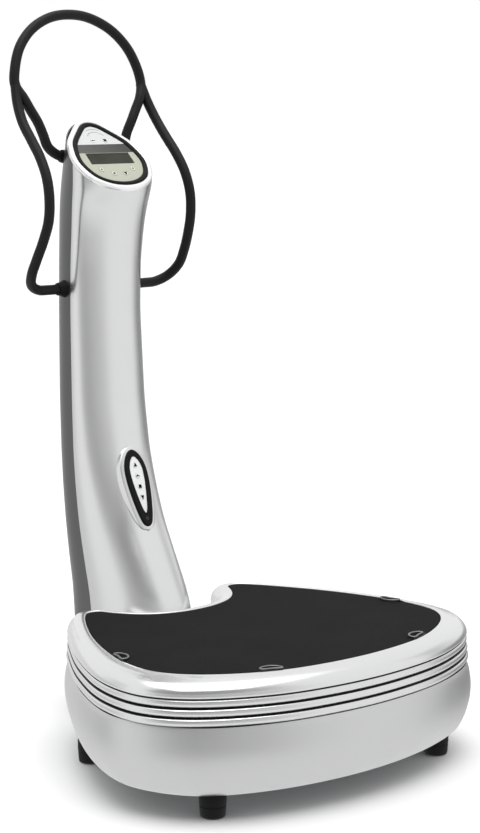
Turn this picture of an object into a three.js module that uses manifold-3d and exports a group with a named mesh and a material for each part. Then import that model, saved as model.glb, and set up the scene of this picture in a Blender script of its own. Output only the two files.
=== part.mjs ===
// Vibration plate: a moving platform on a moulded base, with a column that carries a console, a pod and a
// handlebar. Millimetres, +Z up, -Y is the user's side, the ground is z = 0.
import * as THREE from 'three';
import { mergeVertices } from 'three/addons/utils/BufferGeometryUtils.js';
import Module from 'manifold-3d';

const wasm = await Module();
wasm.setup();

// ---- driving dimensions -------------------------------------------------------------------------------------
const GAP = 0.3; // clearance between pieces that touch

const FLOOR_Z = [56, 64]; // base frame's floor plate
const FOOT_R = 27;
const FOOT_AT = [[302, -366], [283, 56]]; // feet, right side
const MOUNT_AT = [[262, -300], [236, -30]]; // rubber mounts, right side
const MOUNT_R = 32;
const PEDESTAL_TOP = 200;

const DECK_Z = 193; // top of the base cover
const COVER_WALL = 4;
const COVER_OUT = 52; // cover's widest line outside the mat's edge
const RIM_Z = 248; // lower edge of the plate rim
const CORE_Z = [259, 271.7];
const MAT_Z = [272, 281];

// Mat outline, right half from the front centre to the rear notch.
const MAT_HALF = [
  [0, -454], [100, -447], [191, -429], [268, -394], [343, -339], [377, -285], [383, -235], [378, -170],
  [361, -113], [326, -20], [287, 55], [253, 111], [225, 152], [197, 172], [176, 164], [163, 135],
  [136, 96], [100, 68], [53, 51], [0, 46],
];
// The cover leaves the mat's outline at the rear lobes and runs round the column's foot.
const TAIL_HALF = [
  [280, 152], [250, 193], [222, 216], [186, 230], [150, 254], [124, 300], [110, 350], [92, 400], [56, 438], [0, 450],
];

// Column sections: z, half width, front y, widest y, rear y.
const COLUMN = [
  [193.3, 104, 116, 290, 422],
  [281, 101, 142, 305, 430],
  [360, 98, 186, 330, 446],
  [437, 96, 232, 350, 457],
  [515, 95, 266, 362, 465],
  [589, 94, 292, 370, 470],
  [700, 92, 312, 376, 476],
  [893, 89, 324, 382, 481],
  [1000, 90, 324, 378, 481],
  [1080, 93, 316, 368, 481],
  [1130, 97, 305, 360, 478],
  [1170, 100, 285, 351, 474],
  [1310, 100, 285, 351, 447],
];
const COLUMN_WALL = 3;
const POST = { half: 38, y: [335, 411], z: [64.3, 1120], wall: 5 };

// Console plane: tilted, origin at the front of the black ring.
const CONSOLE_AT = new THREE.Vector3(0, 290, 1172);
const CONSOLE_TILT = THREE.MathUtils.degToRad(42);
const CONSOLE_HALF = [
  [0, 0], [40, 7], [70, 27], [86, 60], [88, 80], [83, 105], [72, 133], [44, 166], [20, 188], [0, 194],
];
const CONSOLE_RIM = 12;
const CONSOLE_BAND = 11;
const CONSOLE_DROP = 6; // column covers end this far under the console plane
const LCD = { x: 58, s: [66, 100] };
const CONSOLE_KEYS = [[-42, 49], [-15, 36], [15, 36], [42, 49], [-16, 138], [16, 138]];
const KEY_R = 5.5;

// Pod: leaf-shaped remote pad on the column's front, in its own tilted plane.
const POD_AT = new THREE.Vector3(0, 258, 511.5);
const POD_TILT = Math.atan2(152, 59);
const POD_HALF = [
  [0, -87], [10, -82], [17, -65], [23, -38], [28, -5], [30, 25], [28, 50], [20, 71], [10, 83], [0, 87],
];
const POD_FACE_HALF = [[0, -57], [5, -49], [10, -27], [14.5, 0], [17, 25], [16, 47], [9, 64], [0, 71]];
const POD_KEYS = [51, 27, 3, -21];
const POD_WINDOW = { v: -69, r: 5 };

// Handlebar
const TUBE_R = 11;
const HOOP_HALF = [
  [0, 494.5, 1538], [53, 494.5, 1531], [107, 488, 1505], [145, 479, 1466], [165, 469, 1421], [170, 462, 1386],
  [157, 449, 1357], [142, 445, 1331], [127, 441, 1306], [113, 441, 1278], [103, 438, 1252], [80, 432, 1234],
  [40, 425, 1226],
];
const GRIP = [
  [169, 463, 1388], [176, 445, 1346], [181, 419, 1306], [182, 386, 1270], [184, 352, 1234],
  [187, 324, 1192], [190, 311, 1148], [192, 312, 1102], [196, 326, 1060], [200, 346, 1019], [200, 365, 987],
  [187, 387, 961], [160, 400, 947], [130, 404, 945], [70, 405, 945],
];

// Drive: two motors hung under the plate core, shafts along Y.
const MOTOR_X = 130;
const MOTOR_Z = 192;
const MOTOR_R = 55;
const MOTOR_Y = [-255, -105];
const SHAFT_R = 10;
const WEIGHT_R = 44;
const WEIGHT_T = 22;

// Strap rings: hinge point on the mat's edge and the way the ring points over the mat.
const STRAPS = [[369, -158, -16], [197, -417, 66]];
const RING = { half: 22, reach: 19, wire: 4.5, z: 283 };

// ---- materials ----------------------------------------------------------------------------------------------
const paint = (color, roughness, metalness) => new THREE.MeshStandardMaterial({ color, roughness, metalness });
const SILVER = paint(0xc4c6c6, 0.32, 0.7);
const BRIGHT = paint(0xe4e6e6, 0.2, 0.8);
const BLACK = paint(0x1c1b1b, 0.45, 0.05);
const RUBBER = paint(0x131313, 0.85, 0);
const MAT_BLACK = paint(0x2a2a2a, 0.9, 0);
const STEEL = paint(0x6d6f72, 0.45, 0.85);
const ZINC = paint(0xa9acb0, 0.35, 0.9);
const CREAM = paint(0xd8dbc8, 0.5, 0);
const WHITE = paint(0xeceded, 0.4, 0);
const GLASS = paint(0x3b3d33, 0.15, 0);

const group = new THREE.Group();
group.name = 'vibration_plate';

function add(name, geometry, material) {
  const mesh = new THREE.Mesh(geometry, material);
  mesh.name = name;
  group.add(mesh);
}

// ---- geometry helpers ---------------------------------------------------------------------------------------
const v3 = (x, y, z = 0) => new THREE.Vector3(x, y, z);

// Skins a list of rings with equally many points; either closes the list on itself or caps both ends.
function solid(rings, closed = false) {
  const m = rings[0].length;
  const at = (i, j) => (i % rings.length) * m + ((j + m) % m);
  const index = [];
  for (let i = 0; i < rings.length - (closed ? 0 : 1); i++) {
    for (let j = 0; j < m; j++) {
      index.push(at(i, j), at(i, j + 1), at(i + 1, j + 1), at(i, j), at(i + 1, j + 1), at(i + 1, j));
    }
  }
  if (!closed) {
    for (const i of [0, rings.length - 1]) {
      for (const face of cap(rings[i])) {
        const corners = face.map((j) => at(i, j));
        index.push(...(i ? corners : corners.reverse()));
      }
    }
  }
  const geometry = new THREE.BufferGeometry();
  geometry.setFromPoints(rings.flat());
  geometry.setIndex(index);
  return outward(geometry);
}

// Triangles over one flat ring, wound the same way as the ring.
function cap(ring) {
  const normal = v3(0, 0, 0);
  const from = (p) => p.clone().sub(ring[0]);
  ring.forEach((p, i) => normal.add(from(p).cross(from(ring[(i + 1) % ring.length]))));
  const turn = new THREE.Quaternion().setFromUnitVectors(normal.normalize(), v3(0, 0, 1));
  const flat = ring.map((p) => p.clone().applyQuaternion(turn));
  return THREE.ShapeUtils.triangulateShape(flat.map((p) => new THREE.Vector2(p.x, p.y)), []);
}

// Flips a closed geometry whose faces point inwards.
function outward(geometry) {
  const p = geometry.getAttribute('position');
  const index = geometry.getIndex().array;
  const [a, b, c] = [v3(0, 0), v3(0, 0), v3(0, 0)];
  let volume = 0;
  for (let i = 0; i < index.length; i += 3) {
    a.fromBufferAttribute(p, index[i]);
    b.fromBufferAttribute(p, index[i + 1]);
    c.fromBufferAttribute(p, index[i + 2]);
    volume += a.dot(b.cross(c));
  }
  if (volume < 0) {
    for (let i = 0; i < index.length; i += 3) [index[i], index[i + 1]] = [index[i + 1], index[i]];
  }
  return geometry;
}

// Closed symmetric outline through the mirrored half, evenly spaced points, anticlockwise from the front.
function outline(half, count) {
  const mirrored = half.slice(1, -1).reverse().map(([x, y]) => [-x, y]);
  const points = [...half, ...mirrored].map(([x, y]) => v3(x, y));
  return new THREE.CatmullRomCurve3(points, true, 'centripetal').getSpacedPoints(count).slice(0, count);
}

// How much further out the skirt stands at the front corners, and how much less at the rear lobes.
const hump = (p, x, y, reach) => Math.exp(-((Math.abs(p.x) - x) ** 2 + (p.y - y) ** 2) / (2 * reach ** 2));
const fullness = (p) => 1 + 0.3 * hump(p, 365, -300, 115) - 0.14 * hump(p, 285, 90, 120);

// Moves an outline outwards by d and up to z.
function offset(points, d, z = 0) {
  const n = points.length;
  return points.map((p, i) => {
    const t = points[(i + 1) % n].clone().sub(points[(i + n - 1) % n]).normalize();
    const out = d > 25 ? d * fullness(p) : d;
    return v3(p.x + t.y * out, p.y - t.x * out, z);
  });
}

const band = (points, profile) => solid(profile.map(([d, z]) => offset(points, d, z)), true);
const stack = (points, profile) => solid(profile.map(([d, z]) => offset(points, d, z)));

function clean(geometry) {
  const bare = geometry.clone();
  bare.deleteAttribute('normal');
  bare.deleteAttribute('uv');
  return mergeVertices(bare, 1e-4);
}

function manifold(geometry) {
  const merged = clean(geometry);
  return new wasm.Manifold(new wasm.Mesh({
    numProp: 3,
    vertProperties: new Float32Array(merged.getAttribute('position').array),
    triVerts: new Uint32Array(merged.getIndex().array),
  }));
}

function unpack(result) {
  const mesh = result.getMesh();
  const geometry = new THREE.BufferGeometry();
  geometry.setAttribute('position', new THREE.BufferAttribute(mesh.vertProperties, 3));
  geometry.setIndex([...mesh.triVerts]);
  return geometry;
}

// What is left of a body after the tools; loose off-cuts are dropped.
function cut(from, ...tools) {
  const left = tools.reduce((body, tool) => body.subtract(manifold(tool)), manifold(from)).decompose();
  return unpack(left.reduce((a, b) => (a.volume() > b.volume() ? a : b)));
}
const join = (first, ...rest) => unpack(rest.reduce((body, part) => body.add(manifold(part)), manifold(first)));

function box(x0, x1, y0, y1, z0, z1) {
  const geometry = clean(new THREE.BoxGeometry(x1 - x0, y1 - y0, z1 - z0));
  return geometry.translate((x0 + x1) / 2, (y0 + y1) / 2, (z0 + z1) / 2);
}

// Turned piece about the vertical axis through x, y; the profile runs bottom to top as radius, z.
function turned(profile, x = 0, y = 0, segments = 16) {
  const points = profile.map(([r, z]) => new THREE.Vector2(r, z));
  return clean(new THREE.LatheGeometry(points, segments)).rotateX(Math.PI / 2).translate(x, y, 0);
}

// Round bar along a smooth path.
function bar(points, radius, rings, segments = 12) {
  const curve = new THREE.CatmullRomCurve3(points.map((p) => v3(...p)), false, 'centripetal');
  const frames = curve.computeFrenetFrames(rings);
  return solid(curve.getSpacedPoints(rings).map((centre, i) => Array.from({ length: segments }, (_, j) => {
    const angle = (j / segments) * 2 * Math.PI;
    return centre.clone()
      .addScaledVector(frames.normals[i], radius * Math.cos(angle))
      .addScaledVector(frames.binormals[i], radius * Math.sin(angle));
  })));
}

const mirrorX = (points) => points.map(([x, ...rest]) => [-x, ...rest]);
const sides = [['right', 1], ['left', -1]];

// ---- plan outlines ------------------------------------------------------------------------------------------
const mat = outline(MAT_HALF, 60);
const lobeTip = mat.reduce((best, p, i) => (p.x > 0 && p.y > mat[best].y ? i : best), 0);
const follow = offset(mat, COVER_OUT).slice(0, lobeTip - 2).filter((_, i) => i % 3 === 0).map((p) => [p.x, p.y]);
const base = outline([...follow, ...TAIL_HALF], 60);

// ---- column -------------------------------------------------------------------------------------------------
const lerp = THREE.MathUtils.lerp;

// Section values at height z, by straight lines between the rows of the table.
function columnAt(z) {
  let k = COLUMN.findIndex((row) => row[0] >= z);
  if (k < 1) k = k < 0 ? COLUMN.length - 1 : 1;
  const t = THREE.MathUtils.clamp((z - COLUMN[k - 1][0]) / (COLUMN[k][0] - COLUMN[k - 1][0]), 0, 1);
  return COLUMN[k].map((value, i) => lerp(COLUMN[k - 1][i], value, t));
}

// Height where the column covers end, under the tilted console.
function coverTop(y) {
  return CONSOLE_AT.z + (y - CONSOLE_AT.y) * Math.tan(CONSOLE_TILT) - CONSOLE_DROP / Math.cos(CONSOLE_TILT);
}
const COLUMN_ROWS = 15;
const power = (value, n) => Math.abs(value) ** (2 / n);

// One point of the column's skin: t runs from the right side (0) over the front (0.5) to the left side (1), or over
// the rear; u runs up the column; inset moves the skin inwards.
function columnPoint(t, u, front, inset) {
  const angle = t * Math.PI;
  const n = front ? lerp(2.5, 2.25, u) : lerp(2.6, 1.7, u ** 3);
  let z = lerp(COLUMN[0][0], 1200, u);
  let point;
  for (let pass = 0; pass < 12; pass++) {
    const [, w, yf, ym, yb] = columnAt(z);
    const reach = front ? yf + inset - ym : yb - inset - ym;
    const x = (w - inset) * power(Math.cos(angle), n) * Math.sign(Math.cos(angle));
    const y = ym + (front ? -GAP / 2 : GAP / 2) + (reach + (front ? GAP / 2 : -GAP / 2)) * power(Math.sin(angle), n);
    point = v3(x, y, z);
    z = lerp(COLUMN[0][0], coverTop(y), u);
  }
  return point;
}

const SKIN_STEPS = 12;
const columnRows = Array.from({ length: COLUMN_ROWS }, (_, i) => (i / (COLUMN_ROWS - 1)) ** 0.9);

// Half a section of the column's skin, front or rear.
function skin(u, front, inset) {
  return Array.from({ length: SKIN_STEPS + 1 }, (_, i) => columnPoint(i / SKIN_STEPS, u, front, inset));
}

function columnCover(front) {
  const rings = columnRows.map((u) => {
    const [outer, inner] = [skin(u, front, 0), skin(u, front, COLUMN_WALL)];
    return front ? [...outer, ...inner.reverse()] : [...outer.reverse(), ...inner];
  });
  return solid(rings);
}

// The whole column as one filled body, grown by a margin, for trimming what is fixed to it.
function columnBody(margin) {
  return solid(columnRows.map((u) => [...skin(u, true, -margin), ...skin(u, false, -margin).reverse()]));
}

const columnSolid = columnBody(GAP);
add('column_front_cover', columnCover(true), SILVER);
add('column_rear_cover', columnCover(false), SILVER);
const [postY0, postY1] = POST.y;
add('column_post', cut(
  box(-POST.half, POST.half, postY0, postY1, ...POST.z),
  box(-POST.half + POST.wall, POST.half - POST.wall, postY0 + POST.wall, postY1 - POST.wall, 0, 1400),
), STEEL);

// ---- base ---------------------------------------------------------------------------------------------------
const floor = stack(base, [[-38, FLOOR_Z[0]], [-36, FLOOR_Z[1]]]);
const pedestals = MOUNT_AT.flatMap(([x, y]) => [x, -x].map((px) =>
  clean(new THREE.CylinderGeometry(28, 28, PEDESTAL_TOP - FLOOR_Z[0] - 2, 24).rotateX(Math.PI / 2))
    .translate(px, y, (PEDESTAL_TOP + FLOOR_Z[0] + 2) / 2)));
add('base_frame', join(floor, ...pedestals), STEEL);

const coverOuter = stack(base, [
  [-34, 52], [-23, 60], [-10, 84], [-1, 118], [1, 145], [-2, 172], [-6, 187], [-9, DECK_Z],
]);
const coverInner = stack(base, [
  [-34, 40], [-34, 53], [-26, 62], [-10, 88], [0, 120], [0, 145], [-6, 186], [-8, DECK_Z - COVER_WALL],
].map(([d, z]) => [d - COVER_WALL, z]));
const wellHole = stack(mat, [[30, 180], [30, 200]]);
const postHole = box(-44, 44, postY0 - 6, postY1 + 6, 180, 200);
const inletHole = box(-30, 30, 400, 470, 85, 135);
add('base_cover', cut(coverOuter, coverInner, wellHole, postHole, inletHole), SILVER);

const ribs = [];
const RIBS = 3;
const ribStep = (RIM_Z - DECK_Z - 2 * GAP) / RIBS;
for (let i = 0; i < RIBS; i++) {
  const z = DECK_Z + GAP + i * ribStep;
  const out = lerp(46.5, 43.5, i / (RIBS - 1));
  ribs.push([out - 4, z], [out - 4, z + 1.5], [out, z + 4], [out, z + ribStep - 4], [out - 4, z + ribStep - 1.5]);
}
const bellowsTop = RIM_Z - GAP;
ribs[0] = [40, DECK_Z + GAP];
add('bellows', band(mat, [...ribs, [38, bellowsTop], [33, bellowsTop], [33, DECK_Z + GAP]]), SILVER);

for (const [row, [x, y]] of FOOT_AT.entries()) {
  for (const [side, sign] of sides) {
    const profile = [[0, 0], [FOOT_R - 6, 0], [FOOT_R - 2, 3], [FOOT_R - 1, 8], [FOOT_R, 30], [FOOT_R, 49],
      [FOOT_R - 18, 51], [FOOT_R - 18, FLOOR_Z[0] - GAP], [0, FLOOR_Z[0] - GAP]];
    add(`foot_${row ? 'rear' : 'front'}_${side}`, turned(profile, sign * x, y), RUBBER);
  }
}
for (const [row, [x, y]] of MOUNT_AT.entries()) {
  for (const [side, sign] of sides) {
    const z0 = PEDESTAL_TOP + GAP;
    const z1 = CORE_Z[0] - GAP;
    const profile = [[0, z0], [MOUNT_R, z0], [MOUNT_R, z0 + 8], [MOUNT_R - 6, z0 + 16], [MOUNT_R - 6, z1 - 16],
      [MOUNT_R, z1 - 8], [MOUNT_R, z1], [0, z1]];
    add(`rubber_mount_${row ? 'rear' : 'front'}_${side}`, turned(profile, sign * x, y), RUBBER);
  }
}
add('drive_box', box(-85, 85, 70, 180, FLOOR_Z[1] + GAP, 150), ZINC);

// Power inlet block with a socket and a rocker, at the rear of the base.
const rockerAt = v3(17, 446, 110);
const socket = box(-25, 2, 436, 470, 100, 120);
const rockerWell = box(rockerAt.x - 8, rockerAt.x + 8, 431, 470, rockerAt.z - 12.5, rockerAt.z + 12.5);
add('power_inlet', cut(box(-30 + GAP, 30 - GAP, 415, 452, 85 + GAP, 135 - GAP), socket, rockerWell), BLACK);
const rocker = new THREE.Shape([[-6, -9], [3, -10.5], [5.4, -10], [2.6, 0], [5.4, 10], [3, 10.5], [-6, 9]]
  .map(([x, y]) => new THREE.Vector2(x, y)));
const rockerBody = clean(new THREE.ExtrudeGeometry(rocker, { depth: 15, bevelEnabled: false }))
  .applyMatrix4(new THREE.Matrix4().makeBasis(v3(0, 1, 0), v3(0, 0, 1), v3(1, 0, 0)));
rockerBody.rotateX(THREE.MathUtils.degToRad(8)).translate(rockerAt.x - 7.5, rockerAt.y, rockerAt.z);
add('power_switch', rockerBody, RUBBER);

// ---- plate --------------------------------------------------------------------------------------------------
add('plate_core', stack(mat, [[20, CORE_Z[0]], [20, CORE_Z[1]]]), STEEL);
add('mat', stack(mat, [[-0.2, MAT_Z[0]], [-0.2, 278], [-1.2, 280.2], [-3.5, MAT_Z[1]]]), MAT_BLACK);
add('plate_rim', band(mat, [
  [0.1, 272], [0.1, 281.2], [1.6, 282.6], [7, 282.6], [20, 279.6], [31, 274], [39, 266], [43.5, 257],
  [44.5, RIM_Z], [40, RIM_Z], [38, 259], [32, 266], [24, 272],
]), SILVER);

for (const [side, sign] of sides) {
  const x = sign * MOTOR_X;
  const can = clean(new THREE.CylinderGeometry(MOTOR_R, MOTOR_R, MOTOR_Y[1] - MOTOR_Y[0], 32))
    .translate(x, (MOTOR_Y[0] + MOTOR_Y[1]) / 2, MOTOR_Z);
  const saddle = box(x - 50, x + 50, MOTOR_Y[0] + 15, MOTOR_Y[1] - 15, MOTOR_Z, CORE_Z[0] - GAP);
  const bore = clean(new THREE.CylinderGeometry(SHAFT_R + GAP, SHAFT_R + GAP, 400, 24)).translate(x, -180, MOTOR_Z);
  add(`motor_${side}`, cut(join(can, saddle), bore), STEEL);
  const reach = WEIGHT_T + 6;
  add(`shaft_${side}`, clean(new THREE.CylinderGeometry(SHAFT_R, SHAFT_R, MOTOR_Y[1] - MOTOR_Y[0] + 2 * reach, 24))
    .translate(x, (MOTOR_Y[0] + MOTOR_Y[1]) / 2, MOTOR_Z), ZINC);
  // Half discs with a hub, heavy side down.
  const half = new THREE.Shape();
  half.absarc(0, 0, WEIGHT_R, Math.PI, 2 * Math.PI, false);
  half.lineTo(19, 0);
  half.absarc(0, 0, 19, 0, Math.PI, false);
  half.closePath();
  const eye = new THREE.Path();
  eye.absarc(0, 0, SHAFT_R + 1, 0, 2 * Math.PI, true);
  half.holes.push(eye);
  const disc = { depth: WEIGHT_T, bevelEnabled: false, curveSegments: 6 };
  for (const [end, y] of [['front', MOTOR_Y[0] - 2], ['rear', MOTOR_Y[1] + 2 + WEIGHT_T]]) {
    const weight = clean(new THREE.ExtrudeGeometry(half, disc)).rotateX(Math.PI / 2).translate(x, y, MOTOR_Z);
    add(`weight_${end}_${side}`, weight, STEEL);
  }
}

// Strap rings lie flat on the mat; each hinges at its straight side on the mat's edge.
const ringOuter = outline([
  [0, -RING.wire / 2], [RING.half, -RING.wire / 2], [RING.half + 2, 6], [RING.half - 6, 16], [0, RING.reach + 2],
], 16);
const ringWire = [
  [-1, 0], [0, 1], [0, 2.6], [-1, 3.6], [1 - RING.wire, 3.6], [-RING.wire, 2.6], [-RING.wire, 1], [1 - RING.wire, 0],
];
for (const [row, [x, y, turn]] of STRAPS.entries()) {
  for (const [side, sign] of sides) {
    const wire = band(ringOuter, ringWire);
    const heading = THREE.MathUtils.degToRad(90 - turn) * sign;
    add(`strap_ring_${row ? 'front' : 'side'}_${side}`, wire.rotateZ(heading).translate(sign * x, y, RING.z), ZINC);
  }
}

// ---- console ------------------------------------------------------------------------------------------------
// Frame of a tilted panel: x to the right, y up the panel, z out of it.
const tilted = (at, tilt) => new THREE.Matrix4().makeRotationX(tilt).setPosition(at);
const consoleFrame = tilted(CONSOLE_AT, CONSOLE_TILT);
const egg = outline(CONSOLE_HALF, 48);
const onConsole = (geometry) => geometry.applyMatrix4(consoleFrame);

function plateShape(points) {
  return new THREE.Shape(points.map((p) => new THREE.Vector2(p.x, p.y)));
}

function roundHole(x, y, r) {
  const hole = new THREE.Path();
  hole.absarc(x, y, r, 0, 2 * Math.PI, true);
  return hole;
}

function slabOf(shape, z0, z1) {
  const options = { depth: z1 - z0, bevelEnabled: false, curveSegments: 6 };
  return clean(new THREE.ExtrudeGeometry(shape, options)).translate(0, 0, z0);
}

const seat = -CONSOLE_DROP + GAP;
add('console_rim', onConsole(band(egg, [
  [GAP, seat], [GAP, 1], [2, 3], [6, 3.4], [10, 1.6], [CONSOLE_RIM, -2], [CONSOLE_RIM, seat],
])), BRIGHT);
add('console_ring', onConsole(band(egg, [
  [0, seat], [0, 1.2], [-3, 3.6], [-9, 4], [-CONSOLE_BAND + 1, 2.2], [-CONSOLE_BAND, 0.6], [-CONSOLE_BAND, seat],
])), BLACK);
const faceShape = plateShape(offset(egg, -CONSOLE_BAND - GAP));
const [lcdLow, lcdHigh] = LCD.s;
const lcdHole = new THREE.Path([[-LCD.x, lcdLow], [-LCD.x, lcdHigh], [LCD.x, lcdHigh], [LCD.x, lcdLow]]
  .map(([x, y]) => new THREE.Vector2(x, y)));
faceShape.holes.push(lcdHole, ...CONSOLE_KEYS.map(([x, s]) => roundHole(x, s, KEY_R + 2 * GAP)));
add('console_face', onConsole(slabOf(faceShape, -3, 0.4)), CREAM);
add('display', onConsole(box(-LCD.x + GAP, LCD.x - GAP, lcdLow + GAP, lcdHigh - GAP, -3, -0.4)), GLASS);
add('console_tray', onConsole(stack(egg, [
  [-6, -26], [-CONSOLE_BAND + 3, seat - GAP - 3], [-CONSOLE_BAND + 3, seat - GAP],
])), BLACK);
CONSOLE_KEYS.forEach(([x, s], i) => {
  const key = turned([[0, -3.6], [KEY_R, -3.6], [KEY_R, 1], [KEY_R - 1, 1.6], [0, 1.9]], x, s, 20);
  add(`console_key_${i + 1}`, onConsole(key), BLACK);
});

// ---- pod ----------------------------------------------------------------------------------------------------
const podFrame = tilted(POD_AT, POD_TILT);
const onPod = (geometry) => geometry.applyMatrix4(podFrame);
const leaf = outline(POD_HALF, 40);
const leafFace = outline(POD_FACE_HALF, 36);
const housing = stack(leaf, [[30, -60], [20, -30], [12, -8], [9, 1], [4, 3.4]]);
add('pod_housing', cut(onPod(housing), columnSolid), SILVER);
const windowHole = clean(new THREE.CylinderGeometry(POD_WINDOW.r + GAP, POD_WINDOW.r + GAP, 30, 20).rotateX(Math.PI / 2))
  .translate(0, POD_WINDOW.v, 0);
const bezel = cut(stack(leaf, [[0, 3.7], [-0.6, 6.4], [-2.5, 7.6]]), stack(leafFace, [[GAP, 2], [GAP, 9]]), windowHole);
add('pod_bezel', onPod(bezel), BLACK);
const podShape = plateShape(leafFace);
podShape.holes.push(...POD_KEYS.map((v) => roundHole(0, v, KEY_R + 2 * GAP)));
add('pod_face', onPod(slabOf(podShape, 3.7, 6.6)), WHITE);
POD_KEYS.forEach((v, i) => {
  add(`pod_key_${i + 1}`, onPod(turned([[0, 4.9], [KEY_R, 4.9], [KEY_R, 7.2], [KEY_R - 1, 7.8], [0, 8]], 0, v, 12)), BLACK);
});
const windowProfile = [[0, 3.7], [POD_WINDOW.r, 3.7], [POD_WINDOW.r, 7.4], [0, 7.8]];
add('infrared_window', onPod(turned(windowProfile, 0, POD_WINDOW.v, 12)), GLASS);

// ---- handlebar ----------------------------------------------------------------------------------------------
const hoopPath = [...HOOP_HALF.slice(1).reverse(), ...mirrorX(HOOP_HALF)];
const hoopBody = bar(hoopPath, TUBE_R, 60);
add('hoop', cut(hoopBody, columnSolid), BLACK);
const hoopClear = bar(hoopPath, TUBE_R + GAP, 60);
for (const [side, sign] of sides) {
  const path = sign > 0 ? GRIP : mirrorX(GRIP);
  add(`grip_${side}`, cut(bar(path, TUBE_R, 36), hoopClear, columnSolid), BLACK);
  const gripClear = bar(path, TUBE_R + GAP, 36);
  const collars = [['upper', [62, 430, 1230], hoopClear, 0.2, 6], ['lower', [93, 405, 945], gripClear, 0, 11]];
  for (const [level, [x, y, z], tool, lean, flare] of collars) {
    const collar = clean(new THREE.CylinderGeometry(TUBE_R + 3, TUBE_R + flare, 28, 24)).rotateZ(-Math.PI / 2 + lean)
      .translate(x, y, z);
    const placed = sign > 0 ? collar : outward(collar.scale(-1, 1, 1));
    add(`collar_${level}_${side}`, cut(placed, tool, columnSolid), BLACK);
  }
}

export default group;
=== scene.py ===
"""Vibration plate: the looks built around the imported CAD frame. Metres, +Z up, -Y is the user's side."""

import math

import bmesh
import bpy
import numpy as np
from mathutils import Matrix, Vector


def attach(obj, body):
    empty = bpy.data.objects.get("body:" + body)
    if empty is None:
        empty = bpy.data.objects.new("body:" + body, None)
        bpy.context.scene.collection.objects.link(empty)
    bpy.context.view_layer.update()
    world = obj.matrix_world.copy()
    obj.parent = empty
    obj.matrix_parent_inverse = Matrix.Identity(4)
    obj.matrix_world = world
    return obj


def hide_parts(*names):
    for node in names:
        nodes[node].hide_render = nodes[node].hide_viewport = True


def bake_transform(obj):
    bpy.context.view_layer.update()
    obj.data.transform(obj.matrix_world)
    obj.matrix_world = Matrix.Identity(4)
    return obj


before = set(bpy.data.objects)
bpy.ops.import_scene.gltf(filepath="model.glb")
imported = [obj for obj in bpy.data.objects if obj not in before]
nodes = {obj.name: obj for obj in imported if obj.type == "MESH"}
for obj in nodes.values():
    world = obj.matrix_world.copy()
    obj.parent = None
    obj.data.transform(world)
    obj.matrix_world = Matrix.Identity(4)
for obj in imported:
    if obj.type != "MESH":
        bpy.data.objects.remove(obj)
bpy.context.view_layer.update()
MM = 0.001

# ---- the part's own dimensions, in millimetres ----------------------------------------------------
MAT_HALF = [
    (0, -454), (100, -447), (191, -429), (268, -394), (343, -339), (377, -285), (383, -235),
    (378, -170), (361, -113), (326, -20), (287, 55), (253, 111), (225, 152), (197, 172), (176, 164),
    (163, 135), (136, 96), (100, 68), (53, 51), (0, 46),
]
TAIL_HALF = [
    (280, 152), (250, 193), (222, 216), (186, 230), (150, 254), (124, 300), (110, 350), (92, 400),
    (56, 438), (0, 450),
]
COVER_OUT = 52
DECK_Z = 193
PLATE_Z = 248
MAT_Z = (272.2, 281)
GAP = 0.3
RIBS = 3
RIB_OUT, RIB_LEAN = 46.5, 1.5
FOLD_OUT = 33
POST_HOLE = (-44, 44, 329, 417)
INLET_HOLE = (-30, 30, 400, 470, 85, 135)
# Rows of the column: height, half width, then y of its front, its widest line and its rear.
COLUMN = [
    (193.3, 104, 116, 290, 422), (281, 101, 142, 305, 430), (360, 98, 186, 330, 446),
    (437, 96, 232, 350, 457), (515, 95, 266, 362, 465), (589, 94, 292, 370, 470),
    (700, 92, 312, 376, 476), (893, 89, 324, 382, 481), (1000, 90, 324, 378, 481),
    (1080, 93, 316, 368, 481), (1130, 97, 305, 360, 478), (1170, 100, 285, 351, 474),
    (1310, 100, 285, 351, 447),
]
COLUMN_STEP = 4.0
COLUMN_TALLEST = 1200
COLUMN_WALL = 3
CONSOLE_AT = (0, 290, 1172)
CONSOLE_TILT = math.radians(42)
CONSOLE_HALF = [
    (0, 0), (40, 7), (70, 27), (86, 60), (88, 80), (83, 105), (72, 133), (44, 166), (20, 188), (0, 194),
]
CONSOLE_BAND = 11.3
CONSOLE_DROP = 6
CONSOLE_KEYS = [(-42, 49), (-15, 36), (15, 36), (42, 49), (-16, 138), (16, 138)]
LCD_X, LCD_S = 58, (66, 100)
LCD_GAP = 0.3
GREY_FROM, WHITE_FROM = 100.2, 126.6
POD_AT = (0, 258, 511.5)
POD_TILT = math.atan2(152, 59)
POD_HALF = [
    (0, -87), (10, -82), (17, -65), (23, -38), (28, -5), (30, 25), (28, 50), (20, 71), (10, 83), (0, 87),
]
POD_FACE_HALF = [(0, -57), (5, -49), (10, -27), (14.5, 0), (17, 25), (16, 47), (9, 64), (0, 71)]
POD_KEYS = [51, 27, 3, -21]
POD_WINDOW = -69
KEY_R = 5.5
KEY_GAP = 0.6
LENS_R = 5
TUBE_R = 11
HOOP_HALF = [
    (0, 494.5, 1538), (53, 494.5, 1531), (107, 488, 1505), (145, 479, 1466), (165, 469, 1421),
    (170, 462, 1386), (157, 449, 1357), (142, 445, 1331), (127, 441, 1306), (113, 441, 1278),
    (103, 438, 1252), (80, 432, 1234), (40, 425, 1226),
]
GRIP = [
    (169, 463, 1388), (176, 445, 1346), (181, 419, 1306), (182, 386, 1270), (184, 352, 1234),
    (187, 324, 1192), (190, 311, 1148), (192, 312, 1102), (196, 326, 1060), (200, 346, 1019), (200, 365, 987),
    (187, 387, 961), (160, 400, 947), (130, 404, 945), (70, 405, 945),
]
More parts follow.
